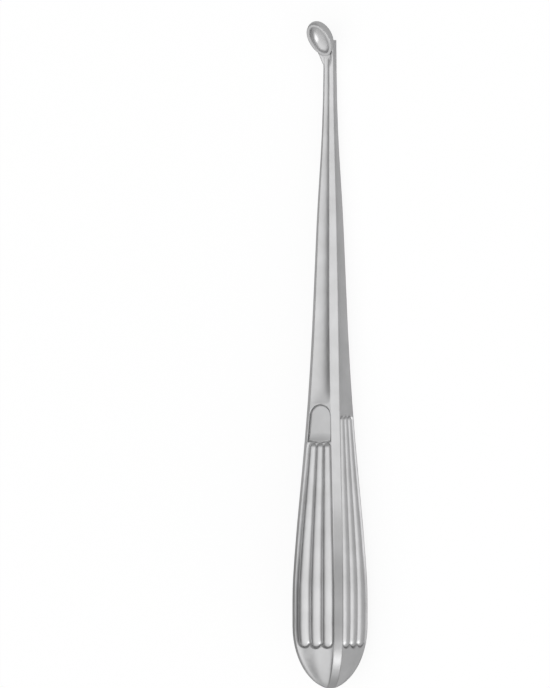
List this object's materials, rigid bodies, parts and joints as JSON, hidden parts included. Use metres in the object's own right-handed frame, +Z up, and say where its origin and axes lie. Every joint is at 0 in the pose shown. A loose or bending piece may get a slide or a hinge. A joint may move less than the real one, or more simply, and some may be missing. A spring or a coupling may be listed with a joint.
{
  "type": "bone curette",
  "caption": "Long one-piece bone curette with a forward-leaning oval cup, a tapered square shank and a fluted, thumb-rested palm handle.",
  "frame": {"origin": "centre of the bounding box on the plane that the tool lies on", "axes": "+Y from the butt of the handle towards the cup, +Z up through the thumb rest and the cup's mouth, +X to the right of the tool seen from above with the cup at the top"},
  "size_m": [0.0214, 0.2298, 0.022],
  "materials": {
    "steel": "satin"
  },
  "bodies": {
    "root": {"curette": "steel"}
  },
  "joints": []
}
